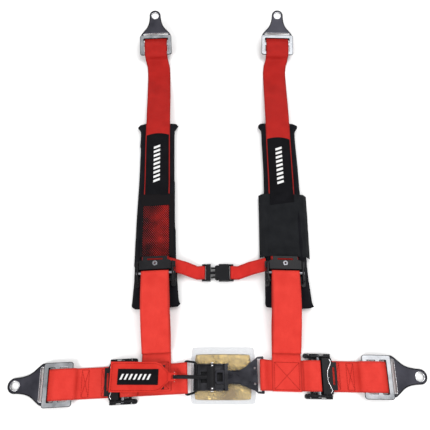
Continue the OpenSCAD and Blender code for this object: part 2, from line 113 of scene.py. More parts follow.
def buildWeave():
    # ribs across the cloth and columns along it, both sines, and a slow cloud of wear; the Shade output also carries
    # painted shade, darker in the low parts of that relief
    group, given, out = newGroup(
        "weaveLook",
        [("Vector", "NodeSocketVector", None), ("Rib", "NodeSocketFloat", 0.0014),
         ("Column", "NodeSocketFloat", 0.0021), ("Cloud", "NodeSocketFloat", 60.0)],
        [("Height", "NodeSocketFloat"), ("Shade", "NodeSocketFloat")])
    parts = put(group, "ShaderNodeSeparateXYZ")
    wire(group, given.outputs["Vector"], parts.inputs[0])
    across = calc(group, "DIVIDE", parts.outputs[0], given.outputs["Column"])
    along = calc(group, "DIVIDE", parts.outputs[1], given.outputs["Rib"])
    chevron = calc(group, "PINGPONG", across, 0.5)
    ribs = calc(group, "SINE", calc(group, "MULTIPLY", calc(group, "ADD", along, chevron), fullTurn))
    columns = calc(group, "SINE", calc(group, "MULTIPLY", across, fullTurn))
    noise = put(group, "ShaderNodeTexNoise", Detail=3.0)
    wire(group, given.outputs["Vector"], noise.inputs["Vector"])
    wire(group, given.outputs["Cloud"], noise.inputs["Scale"])
    height = calc(group, "ADD", calc(group, "MULTIPLY", ribs, 0.6), calc(group, "MULTIPLY", columns, 0.4))
    wire(group, height, out.inputs["Height"])
    # painted shade: the colour follows the weave relief, darker in its grooves
    grooveShade = calc(group, "MULTIPLY", height, 0.16)
    cloud = calc(group, "ADD", calc(group, "MULTIPLY", noise.outputs["Fac"], 0.6), 0.2)
    shade = calc(group, "ADD", grooveShade, cloud)
    wire(group, shade, out.inputs["Shade"])
    return group


def buildGrain():
    # fine noise for metal and plastic: a height and a roughness shift
    group, given, out = newGroup(
        "fineGrain",
        [("Vector", "NodeSocketVector", None), ("Scale", "NodeSocketFloat", 900.0),
         ("Smudge", "NodeSocketFloat", 45.0)],
        [("Height", "NodeSocketFloat"), ("Smear", "NodeSocketFloat")])
    fine = put(group, "ShaderNodeTexNoise", Detail=4.0, Roughness=0.65)
    slow = put(group, "ShaderNodeTexNoise", Detail=3.0)
    wire(group, given.outputs["Vector"], fine.inputs["Vector"])
    wire(group, given.outputs["Scale"], fine.inputs["Scale"])
    wire(group, given.outputs["Vector"], slow.inputs["Vector"])
    wire(group, given.outputs["Smudge"], slow.inputs["Scale"])
    wire(group, fine.outputs["Fac"], out.inputs["Height"])
    wire(group, slow.outputs["Fac"], out.inputs["Smear"])
    return group


weaveLook = buildWeave()
fineGrain = buildGrain()


def newMaterial(name):
    material = bpy.data.materials.new(name)
    material.use_nodes = True
    tree = material.node_tree
    return material, tree, tree.nodes["Principled BSDF"]


def useGroup(tree, group, vector, **values):
    node = tree.nodes.new("ShaderNodeGroup")
    node.node_tree = group
    tree.links.new(vector, node.inputs["Vector"])
    for key, value in values.items():
        node.inputs[key].default_value = value
    return node


def bump(tree, height, shader, strength, distance):
    node = put(tree, "ShaderNodeBump", Strength=strength, Distance=distance)
    wire(tree, height, node.inputs["Height"])
    wire(tree, node.outputs[0], shader.inputs["Normal"])


def spread(tree, value, low, high, outLow, outHigh):
    node = put(tree, "ShaderNodeMapRange", i1=low, i2=high, i3=outLow, i4=outHigh)
    wire(tree, value, node.inputs[0])
    return node.outputs[0]


def webbingCloth(name, dark, light, halfWidth=0.025, edge=0.75):
    material, tree, shader = newMaterial(name)
    uv = put(tree, "ShaderNodeUVMap", {"uv_map": "cloth"})
    weave = useGroup(tree, weaveLook, uv.outputs[0], Cloud=38.0)
    parts = put(tree, "ShaderNodeSeparateXYZ")
    wire(tree, uv.outputs[0], parts.inputs[0])
    offset = calc(tree, "ABSOLUTE", parts.outputs[0])
    selvedge = spread(tree, offset, halfWidth - 0.0035, halfWidth - 0.0012, 1.0, edge)
    base = blendColour(tree, spread(tree, weave.outputs["Shade"], 0.3, 0.75, 0, 1), dark, light)
    edged = blendColour(tree, 1.0, base, (1, 1, 1), "MULTIPLY")
    tinted = edged.node
    grey = put(tree, "ShaderNodeCombineColor")
    for channel in range(3):
        wire(tree, selvedge, grey.inputs[channel])
    wire(tree, grey.outputs[0], tinted.inputs[7])
    wire(tree, edged, shader.inputs["Base Color"])
    shader.inputs["Roughness"].default_value = 0.55
    shader.inputs["Specular IOR Level"].default_value = 0.14
    bump(tree, weave.outputs["Height"], shader, 0.6, 0.0003)
    return material


def objectCloth(name, dark, light, rib=0.0012, column=0.0012, depth=0.0003, rough=0.9, shine=0.08, cloud=50.0):
    material, tree, shader = newMaterial(name)
    place = put(tree, "ShaderNodeTexCoord")
    weave = useGroup(tree, weaveLook, place.outputs["Object"], Rib=rib, Column=column, Cloud=cloud)
    base = blendColour(tree, spread(tree, weave.outputs["Shade"], 0.3, 0.75, 0, 1), dark, light)
    wire(tree, base, shader.inputs["Base Color"])
    shader.inputs["Roughness"].default_value = rough
    shader.inputs["Specular IOR Level"].default_value = shine
    bump(tree, weave.outputs["Height"], shader, 0.5, depth)
    return material


def metal(name, colour, second, metallic=1.0, rough=(0.25, 0.4), sideColour=None, grain=0.00004,
          flatLimit=0.86, shine=0.5):
    # satin metal; the faces that stand on edge can take a second colour
    material, tree, shader = newMaterial(name)
    place = put(tree, "ShaderNodeTexCoord")
    grains = useGroup(tree, fineGrain, place.outputs["Object"])
    smear = spread(tree, grains.outputs["Smear"], 0.3, 0.7, 0, 1)
    base = blendColour(tree, smear, colour, second)
    if sideColour:
        parts = put(tree, "ShaderNodeSeparateXYZ")
        wire(tree, place.outputs["Normal"], parts.inputs[0])
        standing = spread(tree, calc(tree, "ABSOLUTE", parts.outputs[2]), flatLimit - 0.1, flatLimit, 1, 0)
        base = blendColour(tree, standing, base, sideColour)
    wire(tree, base, shader.inputs["Base Color"])
    wire(tree, spread(tree, grains.outputs["Smear"], 0.3, 0.7, *rough), shader.inputs["Roughness"])
    shader.inputs["Metallic"].default_value = metallic
    shader.inputs["Specular IOR Level"].default_value = shine
    bump(tree, grains.outputs["Height"], shader, 0.3, grain)
    return material


def meshCloth(name, thread, holeScale=0.0040):
    # knitted mesh: round holes on a slanted grid, let through by alpha, with a solid hem at the top
    material, tree, shader = newMaterial(name)
    uv = put(tree, "ShaderNodeUVMap", {"uv_map": "cloth"})
    parts = put(tree, "ShaderNodeSeparateXYZ")
    wire(tree, uv.outputs[0], parts.inputs[0])
    u = calc(tree, "DIVIDE", parts.outputs[0], holeScale)
    v = calc(tree, "DIVIDE", parts.outputs[1], holeScale * 1.25)
    first = calc(tree, "SINE", calc(tree, "MULTIPLY", calc(tree, "ADD", u, v), 3.1416))
    second = calc(tree, "SINE", calc(tree, "MULTIPLY", calc(tree, "SUBTRACT", u, v), 3.1416))
    net = calc(tree, "ABSOLUTE", calc(tree, "MULTIPLY", first, second))
    noise = put(tree, "ShaderNodeTexNoise", Scale=42.0, Detail=1.0)
    wire(tree, uv.outputs[0], noise.inputs["Vector"])
    loose = calc(tree, "MULTIPLY", calc(tree, "SUBTRACT", noise.outputs["Fac"], 0.5), 0.9)
    openShare = spread(tree, parts.outputs[0], -0.016, 0.006, -0.30, 0.08)
    hole = spread(tree, calc(tree, "ADD", calc(tree, "ADD", net, loose), openShare), 0.30, 0.42, 1.0, 0.03)
    side = spread(tree, calc(tree, "ABSOLUTE", parts.outputs[0]), 0.0245, 0.0260, 0, 1)
    hem = spread(tree, parts.outputs[1], 0.136, 0.1375, 0, 1)
    solid = calc(tree, "MAXIMUM", calc(tree, "MAXIMUM", hole, side), hem, True)
    wire(tree, solid, shader.inputs["Alpha"])
    shader.inputs["Base Color"].default_value = (*thread, 1)
    shader.inputs["Roughness"].default_value = 0.8
    shader.inputs["Specular IOR Level"].default_value = 0.1
    bump(tree, net, shader, 0.4, 0.0003)
    return material


webbingRed = webbingCloth("webbingRed", (0.54, 0.024, 0.016), (0.68, 0.046, 0.032))
# the shoulder straps' red webbing is a darker copy of the lap webbing: painted shade
webbingRedShaded = webbingCloth("webbingRedShaded", (0.30, 0.006, 0.004), (0.44, 0.014, 0.010))
chestRed = webbingCloth("chestRed", (0.42, 0.010, 0.007), (0.62, 0.028, 0.020), halfWidth=0.0125)
padCloth = objectCloth("padCloth", (0.0035, 0.0035, 0.005), (0.010, 0.010, 0.013), rib=0.0011, column=0.0016)
plainSleeve = objectCloth("plainSleeve", (0.007, 0.0075, 0.009), (0.016, 0.017, 0.019), rib=0.0009, column=0.0009)
labelCloth = objectCloth("labelCloth", (0.003, 0.003, 0.004), (0.008, 0.008, 0.010), rib=0.0007, column=0.0007)
tagCloth = objectCloth("tagCloth", (0.46, 0.020, 0.014), (0.60, 0.038, 0.027), rib=0.0014, column=0.0021)
hookTape = objectCloth("hookTape", (0.008, 0.008, 0.009), (0.03, 0.03, 0.033), rib=0.0016, column=0.0016, depth=0.0008)
markCloth = objectCloth("markCloth", (0.70, 0.70, 0.70), (0.86, 0.86, 0.86), rib=0.0006, column=0.0006)
redThread = objectCloth("redThread", (0.20, 0.004, 0.003), (0.34, 0.012, 0.008), rib=0.0004, column=0.0004)
blackThread = objectCloth("blackThread", (0.006, 0.006, 0.007), (0.014, 0.014, 0.016), rib=0.0004, column=0.0004)
sleeveMesh = meshCloth("sleeveMesh", (0.006, 0.005, 0.006))
slideSteel = metal("slideSteel", (0.26, 0.27, 0.29), (0.46, 0.47, 0.49), rough=(0.24, 0.38),
                   sideColour=(0.012, 0.012, 0.015))
slateSteel = metal("slateSteel", (0.024, 0.024, 0.032), (0.045, 0.044, 0.056), metallic=0.8, rough=(0.34, 0.46))
darkSteel = metal("darkSteel", (0.005, 0.005, 0.006), (0.011, 0.011, 0.013), metallic=0.3, rough=(0.25, 0.38),
                  shine=0.2)
# the black steel's lighter colour on the faces that stand on edge is a painted highlight on its walls
blackSteel = metal("blackSteel", (0.005, 0.005, 0.006), (0.010, 0.010, 0.012), metallic=0.1, rough=(0.28, 0.42),
                   shine=0.16, sideColour=(0.02, 0.02, 0.023), flatLimit=0.4)
greySteel = metal("greySteel", (0.12, 0.12, 0.13), (0.24, 0.24, 0.26), rough=(0.20, 0.34))
brightSteel = metal("brightSteel", (0.62, 0.62, 0.64), (0.80, 0.80, 0.82), rough=(0.12, 0.25))
latchSteel = metal("latchSteel", (0.018, 0.018, 0.021), (0.055, 0.055, 0.062), metallic=0.8, rough=(0.17, 0.30),
                    sideColour=(0.008, 0.008, 0.010))
linkSteel = metal("linkSteel", (0.012, 0.012, 0.016), (0.042, 0.042, 0.050), metallic=0.85, rough=(0.24, 0.38),
                   sideColour=(0.006, 0.006, 0.008))
clipPlastic = metal("clipPlastic", (0.006, 0.006, 0.007), (0.011, 0.011, 0.013), metallic=0.0,
                    rough=(0.38, 0.52), grain=0.00008, shine=0.08)


def foilCloth():
    material, tree, shader = newMaterial("foilCloth")
    place = put(tree, "ShaderNodeTexCoord")
    grains = useGroup(tree, fineGrain, place.outputs["Object"], Scale=95.0, Smudge=30.0)
    patches = spread(tree, grains.outputs["Smear"], 0.35, 0.65, 0, 1)
    tone = blendColour(tree, patches, (0.24, 0.15, 0.032), (0.60, 0.43, 0.145))
    wire(tree, tone, shader.inputs["Base Color"])
    wire(tree, spread(tree, grains.outputs["Smear"], 0.3, 0.7, 0.32, 0.12), shader.inputs["Roughness"])
    shader.inputs["Metallic"].default_value = 0.85
    bump(tree, grains.outputs["Height"], shader, 1.0, 0.0022)
    return material


def clearFilm():
    material, tree, shader = newMaterial("clearFilm")
    place = put(tree, "ShaderNodeTexCoord")
    grains = useGroup(tree, fineGrain, place.outputs["Object"], Scale=90.0, Smudge=30.0)
    shader.inputs["Base Color"].default_value = (0.42, 0.44, 0.48, 1)
    shader.inputs["Roughness"].default_value = 0.12
    shader.inputs["Alpha"].default_value = 0.20
    shader.inputs["IOR"].default_value = 1.5
    bump(tree, grains.outputs["Smear"], shader, 0.6, 0.004)
    return material


foilGold = foilCloth()
filmClear = clearFilm()
print("materials ready")

# layout shared by the pieces
strapPlaces = [(-113, -196, 2.8), (122, -196, -1.5), (-160, -378.5, 92.9), (170, -370, -91)]
strapNames = ["shoulder_left", "shoulder_right", "lap_left", "lap_right"]
baseZ = [19.8, 19.8, 1.9, 1.9]
hingeY = [552, 552, 128, 118.5]
hingeZ = [17.4, 17.4, 5, 5]
curlOf = [10, 10, 0, 0]
riseOf = [17, 17, -2.5, -2.5]
shiftOf = [0, 0, 2, -2]

swayTables = {
    0: [[45, 0], [121, 0.7], [190, 2.7], [282, 3.8], [340, 5.2], [400, 6.2], [470, 5.4], [486, 4.6], [500, 1.2],
        [506, 0]],
    1: [[45, 0], [121, -0.4], [190, -1.5], [282, -4.0], [340, -5.0], [400, -6.3], [470, -6.6], [486, -5],
        [500, -1.2], [506, 0]],
    "pad": [[-62, 5.2], [-6, 2.5], [72, 0.4], [155, -1.0], [226, -2.5], [282, -5.2], [332, -6.0]]}


def swayed(table, points):
    # the cloth wanders a little to the side of its straight line
    p = np.array(points, float)
    rows = np.array(swayTables[table], float)
    p[..., 0] += np.interp(p[..., 1], rows[:, 0], rows[:, 1])
    return p


def toWorld(which, points):
    # strap coordinates, x across and y along, turned about the adjuster, to metres
    x0, y0, turn = strapPlaces[which]
    c, s = math.cos(math.radians(turn)), math.sin(math.radians(turn))
    p = np.asarray(points, float)
    return np.stack([x0 + p[..., 0] * c - p[..., 1] * s, y0 + p[..., 0] * s + p[..., 1] * c, p[..., 2]], -1) * mm


def arcPoints(cx, cy, r, start, end, count):
    a = np.radians(np.linspace(start, end, count + 1))
    return np.stack([cx + r * np.cos(a), cy + r * np.sin(a)], -1)


def joined(*lists):
    return np.concatenate([np.asarray(part, float).reshape(-1, 2) for part in lists])


def evenPath(path, step, rounds=2):
    # corners cut twice, then points at an even spacing along the line
    p = np.asarray(path, float)
    for _ in range(rounds):
        a, b = p[:-1], p[1:]
        cut = np.stack([0.75 * a + 0.25 * b, 0.25 * a + 0.75 * b], 1).reshape(-1, p.shape[1])
        p = np.vstack([p[:1], cut, p[-1:]])
    gone = np.concatenate([[0], np.cumsum(np.linalg.norm(np.diff(p, axis=0), axis=1))])
    count = max(int(gone[-1] / step), 8)
    at = np.linspace(0, gone[-1], count + 1)
    return np.stack([np.interp(at, gone, p[:, k]) for k in range(p.shape[1])], -1), at


def meshPiece(name, points, faces, material, body, uv=None, replaced=()):
    mesh = bpy.data.meshes.new(name)
    mesh.from_pydata(points.reshape(-1, 3).tolist(), [], [tuple(map(int, f)) for f in faces])
    if uv is not None:
        layer = mesh.uv_layers.new(name="cloth")
        corners = np.zeros(len(mesh.loops), np.int32)
        mesh.loops.foreach_get("vertex_index", corners)
        layer.data.foreach_set("uv", uv.reshape(-1, 2)[corners].astype(np.float32).ravel())
    mesh.polygons.foreach_set("use_smooth", [True] * len(mesh.polygons))
    mesh.materials.append(material)
    mesh.update()
    obj = bpy.data.objects.new(name, mesh)
    bpy.context.scene.collection.objects.link(obj)
    if body:
        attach(obj, body)
    if replaced:
        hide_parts(*replaced)
    return obj


def gridFaces(rows, columns, closeColumns=False, closeRows=False):
    r = np.arange(rows if closeRows else rows - 1)
    c = np.arange(columns if closeColumns else columns - 1)
    r, c = np.meshgrid(r, c, indexing="ij")
    r2, c2 = (r + 1) % rows, (c + 1) % columns
    return np.stack([r * columns + c, r * columns + c2, r2 * columns + c2, r2 * columns + c], -1).reshape(-1, 4)


def outward(obj):
    shape = bmesh.new()
    shape.from_mesh(obj.data)
    bmesh.ops.recalc_face_normals(shape, faces=shape.faces)
    shape.to_mesh(obj.data)
    shape.free()
    return obj


def webbing(name, which, path, width, thick, material, body, replaced, ripple=0.25, seed=1, step=2.0,
            frameOf=None, swayTable=None):
    # the section, a flat band with round selvedges, carried along the path; x is across
    line, gone = evenPath(path, step)
    tangent = np.gradient(line, axis=0)
    tangent /= np.linalg.norm(tangent, axis=1)[:, None]
    normal = np.stack([-tangent[:, 1], tangent[:, 0]], -1)
    half = width / 2
    flat = np.linspace(-half + thick * 0.5, half - thick * 0.5, 13)
    side = np.radians([60, 20, -20, -60])
    xs = np.concatenate([flat, half - thick / 2 + np.cos(side) * thick / 2, flat[::-1],
                         -half + thick / 2 - np.cos(side) * thick / 2])
    ns = np.concatenate([np.full(13, thick / 2), np.sin(side) * thick / 2, np.full(13, -thick / 2),
                         -np.sin(side) * thick / 2])
    random = np.random.default_rng(seed)
    waves = sum(a * np.sin(gone / w + f) for a, w, f in
                zip((0.5, 0.3, 0.2), (31, 17, 9.5), random.uniform(0, 6.3, 3)))
    fade = np.clip(np.minimum(gone, gone[-1] - gone) / 40, 0, 1)
    lift = ripple * (waves * fade)[:, None] * (xs / half)[None, :] ** 2
    n = ns[None, :] + lift
    points = np.stack([np.broadcast_to(xs, n.shape), line[:, :1] + normal[:, :1] * n,
                       line[:, 1:] + normal[:, 1:] * n], -1)
    if swayTable is not None:
        points = swayed(swayTable, points)
    world = frameOf(points) if frameOf else toWorld(which, points)
    rows, columns = n.shape
    faces = [tuple(f[::-1]) for f in gridFaces(rows, columns, closeColumns=True)]
    faces.append(tuple(range(columns)))
    faces.append(tuple(range((rows - 1) * columns, rows * columns))[::-1])
    uv = np.stack([np.broadcast_to(xs * mm, n.shape), np.broadcast_to((gone * mm)[:, None], n.shape)], -1)
    return outward(meshPiece(name, world, faces, material, body, uv, replaced))


def tube(name, path, radius, material, body, replaced=(), closed=False, sides=12):
    # a circle carried along a three-dimensional path
    p = np.asarray(path, float)
    if closed:
        tangent = np.roll(p, -1, 0) - np.roll(p, 1, 0)
    else:
        tangent = np.gradient(p, axis=0)
    tangent /= np.linalg.norm(tangent, axis=1)[:, None]
    first = np.cross(tangent, [0.0, 0.0, 1.0])
    short = np.linalg.norm(first, axis=1) < 1e-3
    first[short] = np.cross(tangent[short], [1.0, 0.0, 0.0])
    first /= np.linalg.norm(first, axis=1)[:, None]
    second = np.cross(first, tangent)
    a = np.linspace(0, 2 * math.pi, sides, endpoint=False)
    r = np.broadcast_to(np.asarray(radius, float), (len(p),))[:, None, None]
    points = p[:, None] + r * (first[:, None] * np.cos(a)[None, :, None] + second[:, None] * np.sin(a)[None, :, None])
    faces = list(map(tuple, gridFaces(len(p), sides, True, closed)))
    if not closed:
        faces.append(tuple(range(sides))[::-1])
        faces.append(tuple(range((len(p) - 1) * sides, len(p) * sides)))
    return outward(meshPiece(name, points, faces, material, body, None, replaced))


def stitches(name, starts, ends, material, body, thick=0.0007, gapShare=0.3):
    # each stitch is a short spindle: three rings of six points and two tips
    a, b = np.asarray(starts, float), np.asarray(ends, float)
    along = b - a
    a, b = a + along * gapShare / 2, b - along * gapShare / 2
    direction = along / np.linalg.norm(along, axis=1)[:, None]
    sideways = np.cross(direction, [0.0, 0.0, 1.0])
    sideways /= np.maximum(np.linalg.norm(sideways, axis=1), 1e-6)[:, None]
    upwards = np.cross(sideways, direction)
    t = np.array([0.0, 0.15, 0.5, 0.85, 1.0])
    r = np.array([0.15, 0.8, 1.0, 0.8, 0.15]) * thick / 2
    angle = np.linspace(0, 2 * math.pi, 6, endpoint=False)
    centre = a[:, None] + (b - a)[:, None] * t[None, :, None]
    c, s = np.cos(angle)[None, None, :, None], np.sin(angle)[None, None, :, None]
    ring = sideways[:, None, None] * c + upwards[:, None, None] * s
    points = centre[:, :, None] + ring * r[None, :, None, None]
    block = gridFaces(5, 6, True)
    caps = [tuple(range(6)), tuple(range(24, 30))]
    faces = []
    for k in range(len(a)):
        faces += [tuple(f + 30 * k) for f in block] + [tuple(i + 30 * k for i in cap) for cap in caps]
    return outward(meshPiece(name, points, faces, material, body))


sharpEdge = 32


def beveled(node, name, width, material, body, segments=2):
    # a merged copy of the CAD solid with its edges rounded
    source = bpy.data.objects[node]
    mesh = source.data.copy()
    mesh.name = name
    shape = bmesh.new()
    shape.from_mesh(mesh)
    bmesh.ops.remove_doubles(shape, verts=shape.verts, dist=1e-6)
    bmesh.ops.dissolve_limit(shape, angle_limit=math.radians(1.0), verts=shape.verts, edges=shape.edges)
    bmesh.ops.recalc_face_normals(shape, faces=shape.faces)
    shape.to_mesh(mesh)
    shape.free()
    mesh.materials.clear()
    mesh.materials.append(material)
    mesh.polygons.foreach_set("use_smooth", [True] * len(mesh.polygons))
    obj = bpy.data.objects.new(name, mesh)
    bpy.context.scene.collection.objects.link(obj)
    edge = obj.modifiers.new("edge", "BEVEL")
    edge.width = width
    edge.segments = segments
    edge.limit_method = "ANGLE"
    edge.angle_limit = math.radians(sharpEdge)
    edge.harden_normals = False
    edge.use_clamp_overlap = True
    weight = obj.modifiers.new("weight", "WEIGHTED_NORMAL")
    weight.keep_sharp = False
    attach(obj, body)
    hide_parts(node)
    return obj


# webbing
webFacts = {"width": 50, "thick": 1.6, "chestWidth": 25, "chestThick": 1.4}
endPath = joined(
    [[-71, -4], [-40, -4], [-4, -4]], arcPoints(0, 0, 4, -90, 90, 10),
    [[-4.5, 4.05], [-7.5, 5.4], [-10.5, 7.4], [-13.5, 8.9], [-18, 9.4], [-28, 9.7], [-38, 9.3], [-44, 8.5],
     [-47, 6.8], [-48.3, 4.2], [-49.3, 1.4], [-51.5, -0.9], [-55, -2.0], [-60, -2.2], [-71, -2.2]])
shoulderRun = [[470, 1.5], [460, 1.6], [445, 3.6], [425, 7], [405, 11], [390, 12.8], [370, 14.4], [352, 16.2],
               [340, 17.2], [200, 17.2], [60, 17.2], [50, 18.4]]


def strapLine(which):
    c, s = math.cos(math.radians(curlOf[which])), math.sin(math.radians(curlOf[which]))
    end = np.stack([hingeY[which] + endPath[:, 0] * c - endPath[:, 1] * s,
                    hingeZ[which] + endPath[:, 0] * s + endPath[:, 1] * c], -1)
    loop = joined([[40, 0.8], [31, 0.8], [27, 1.6], [23.5, 3.4], [19, 3.5]],
                  arcPoints(15.5, 1.25, 2.25, 90, 270, 8), [[20, -1], [38, -1]]) + [0, baseZ[which]]
    return joined(end, shoulderRun if which < 2 else [], loop)


for which in range(4):
    label = strapNames[which]
    # the shoulder straps take the darker copy of the red webbing, which is painted shade
    webbing("webbing_" + label, which, strapLine(which), webFacts["width"], webFacts["thick"],
            webbingRedShaded if which < 2 else webbingRed, "harness",
            ["strap_" + label], seed=10 + which, swayTable=which if which < 2 else None)


def tailLine(which):
    wrap = arcPoints(0, baseZ[which] + 7.7, 4.1, -90, 90, 10)
    return joined(
        [[-199, 4.6], [-146, 4.6], [-140, 3.6], [-120, 3.2], [-100, 4.6], [-85, 9], [-76, 13.2], [-69, 16.6],
         [-62, 18], [-50, 19], [-38, 20.8], [-28, 22.4], [-20, baseZ[which] + 3.6], [-6, baseZ[which] + 3.6]],
        wrap, [[-6, 31.8], [-20, 34], [-35, 36.4], [-55, 37.2], [-75, 34.6], [-95, 29], [-115, 20.6], [-130, 13.7]],
        arcPoints(-136, 9.6, 1.4, 116, 290, 6), [[-121, 15]])


for which in range(2):
    label = strapNames[which]
    webbing("tail_web_" + label, which, tailLine(which), webFacts["width"], webFacts["thick"], webbingRed,
            "harness", ["tail_" + label], seed=20 + which, ripple=0.5)

loopAt = [-105, -94.5]
underBar = [[[35, 0.9], [20, 1.0], [11, 2.6], [5.5, 5.4]], [[35, 0.9], [13, 0.9], [9, 2.4], [5, 6.5]]]
overBar = [[[6, 10.8], [12, 6.6], [18, 3.6], [24, 2.75]], [[4, 15], [8, 9.5], [12, 5.2], [15.5, 2.8]]]


def beltLine(which):
    cx, cz, radius = loopAt[which - 2], (9.6, 12.75)[which - 2], (3.1, 3.9)[which - 2]
    wrap = arcPoints(0, baseZ[which] + 7.7, 4.1, -90, 90, 10)
    return joined(
        np.array(underBar[which - 2]) + [cx, 0], arcPoints(cx, cz, radius, -50, -270, 12),
        np.array(overBar[which - 2]) + [cx, 0], [[-50, 2.75], [-27, 2.75], [-21, 3.9],
         [-16, 5.4], [-12, baseZ[which] + 3.6], [-5, baseZ[which] + 3.6]],
        wrap, [[-6, 13.6], [-11, 13.2], [-15, 11.8], [-18, 9.6], [-21, 7.4], [-24, 6.6]])


for which in (2, 3):
    label = strapNames[which]
    webbing("belt_web_" + label, which, beltLine(which), webFacts["width"], webFacts["thick"], webbingRed,
            "harness", ["belt_" + label], seed=30 + which)

chestFacts = {"bar": 26.5, "turn": (15.5, 14.5), "place": (0, -190, 6), "top": (84, 54), "fold": 12}


def chestFrame(side, turn):
    # square to the bar up to the fold, then turned off towards the shoulder, eased over a few millimetres
    x0, y0, z0 = chestFacts["place"]

    def place(p):
        x, y, z = p[..., 0], p[..., 1], p[..., 2]
        share = np.clip((y - chestFacts["fold"] + 5) / 10, 0, 1) * (z > -0.9)
        a = np.radians(turn) * share
        far = y - chestFacts["fold"]
        along = chestFacts["fold"] + far * np.cos(a) + side * x * np.sin(a) * share
        across = x * np.cos(a) - side * far * np.sin(a)
        along, across = np.where(share > 0, along, y), np.where(share > 0, across, x)
        return np.stack([x0 + side * (chestFacts["bar"] + along), y0 - side * across, z0 + z], -1) * mm
    return place


for side, label in ((-1, "left"), (1, "right")):
    top = chestFacts["top"][0 if side < 0 else 1]
    line = joined([[14, -1.6], [8, -2.2]], arcPoints(0, 0, 2.6, -60, -300, 10),
                  [[5, 0.9], [14, 0.8], [21, 3.6], [29, 7.6], [36, 10.9], [12 + top, 10.9]])
    webbing("chest_web_" + label, 0, line, webFacts["chestWidth"], webFacts["chestThick"], chestRed, "harness",
            ["chest_strap_" + label], seed=40 + side, step=1.2,
            frameOf=chestFrame(side, chestFacts["turn"][0 if side < 0 else 1]))
print("webbing done")

# pads
padFacts = {"low": -62, "top": 332, "thick": 16, "voxel": 0.0048, "pressure": 4.0, "frames": 12, "cap": 0.0034,
            "flatHalf": 31, "flatTop": 16.1, "pucker": 0.5, "floor": 0.15}
padEdge = np.array([[-62, 40], [-58, 45.6], [-48, 43.8], [-2, 43.6], [98, 41.6], [198, 39.6], [302, 39], [314, 40],
                    [323, 45], [330, 41], [332, 36]], float)


def padShape(which):
    # half width from the outline and a superellipse section; finishPad flattens it under the webbing
    v = np.linspace(0, 1, 150)
    span = padFacts["top"] - padFacts["low"]
    y = padFacts["low"] + span * (0.5 - 0.5 * np.cos(np.pi * v)) * 0.35 + span * v * 0.65
    width = np.interp(y, padEdge[:, 0], padEdge[:, 1])
    tip = np.minimum(y - padFacts["low"], padFacts["top"] - y)
    height = padFacts["thick"] / 2 * np.clip(1 - np.exp(-(tip + 1.2) / 5), 0.25, 1)
    angle = np.linspace(0, 2 * math.pi, 64, endpoint=False)
    c, s = np.cos(angle), np.sin(angle)
    x = np.sign(c) * np.abs(c) ** 0.45
    z = np.sign(s) * np.abs(s) ** 0.6
    shift = -1.5 if which == 0 else 2.5
    px = shift + width[:, None] * x[None, :]
    pz = padFacts["thick"] / 2 + height[:, None] * z[None, :] * (1 - 0.10 * np.abs(x[None, :]) ** 3)
    points = np.stack([px, np.broadcast_to(y[:, None], px.shape), pz], -1)
    faces = list(map(tuple, gridFaces(150, 64, True)))
    faces.append(tuple(range(64)))
    faces.append(tuple(range(149 * 64, 150 * 64))[::-1])
    return toWorld(which, swayed("pad" if which else 0, points)), faces


def puffUp(obj, facts):
    # remesh, swell under pressure with gravity off, keep every point near where it started
    bpy.context.view_layer.objects.active = obj
    remesh = obj.modifiers.new("remesh", "REMESH")
    remesh.mode = "VOXEL"
    remesh.voxel_size = facts["voxel"]
    remesh.use_smooth_shade = True
    bpy.ops.object.modifier_apply(modifier="remesh")
    start = np.zeros(len(obj.data.vertices) * 3, np.float32)
    obj.data.vertices.foreach_get("co", start)
    start = start.reshape(-1, 3)
    cloth = obj.modifiers.new("cloth", "CLOTH")
    cloth.settings.use_pressure = True
    cloth.settings.uniform_pressure_force = facts["pressure"]
    cloth.settings.effector_weights.gravity = 0
    cloth.settings.tension_stiffness = 20
    cloth.settings.compression_stiffness = 20
    cloth.settings.quality = 4
    scene = bpy.context.scene
    for number in range(1, facts["frames"] + 1):
        scene.frame_set(number)
    shape = obj.evaluated_get(bpy.context.evaluated_depsgraph_get()).data
    swollen = np.zeros(len(shape.vertices) * 3, np.float32)
    shape.vertices.foreach_get("co", swollen)
    swollen = swollen.reshape(-1, 3)
    obj.modifiers.remove(cloth)
    scene.frame_set(1)
    move = swollen - start
    far = np.linalg.norm(move, axis=1, keepdims=True)
    start = start + move * np.minimum(1, facts["cap"] / np.maximum(far, 1e-9))
    return start


def finishPad(which):
    label = strapNames[which].split("_")[1]
    points, faces = padShape(which)
    obj = outward(meshPiece("pad_foam_" + label, points, faces, padCloth, "harness", None,
                            ["pad_" + label]))
    co = puffUp(obj, padFacts)
    x0, y0, turn = strapPlaces[which]
    c, s = math.cos(math.radians(turn)), math.sin(math.radians(turn))
    dx, dy = co[:, 0] / mm - x0, co[:, 1] / mm - y0
    across, along = dx * c + dy * s, -dx * s + dy * c
    z = co[:, 2] / mm
    upper = np.clip((z - 8) / 6, 0, 1)
    under = np.clip((padFacts["flatHalf"] - np.abs(across)) / 6, 0, 1)
    pucker = padFacts["pucker"] * np.sin(along / 7.5) * np.clip((np.abs(across) - 26) / 10, 0, 1)
    z = z + pucker * upper
    z = np.where(z > 8, z - np.clip(z - padFacts["flatTop"], 0, None) * under, z)
    co[:, 2] = np.maximum(z, padFacts["floor"]) * mm
    obj.data.vertices.foreach_set("co", co.astype(np.float32).ravel())
    obj.data.update()
    obj.data.polygons.foreach_set("use_smooth", [True] * len(obj.data.polygons))
    smooth = obj.modifiers.new("fine", "SUBSURF")
    smooth.levels = smooth.render_levels = 1


for which in range(2):
    finishPad(which)
print("pads done")


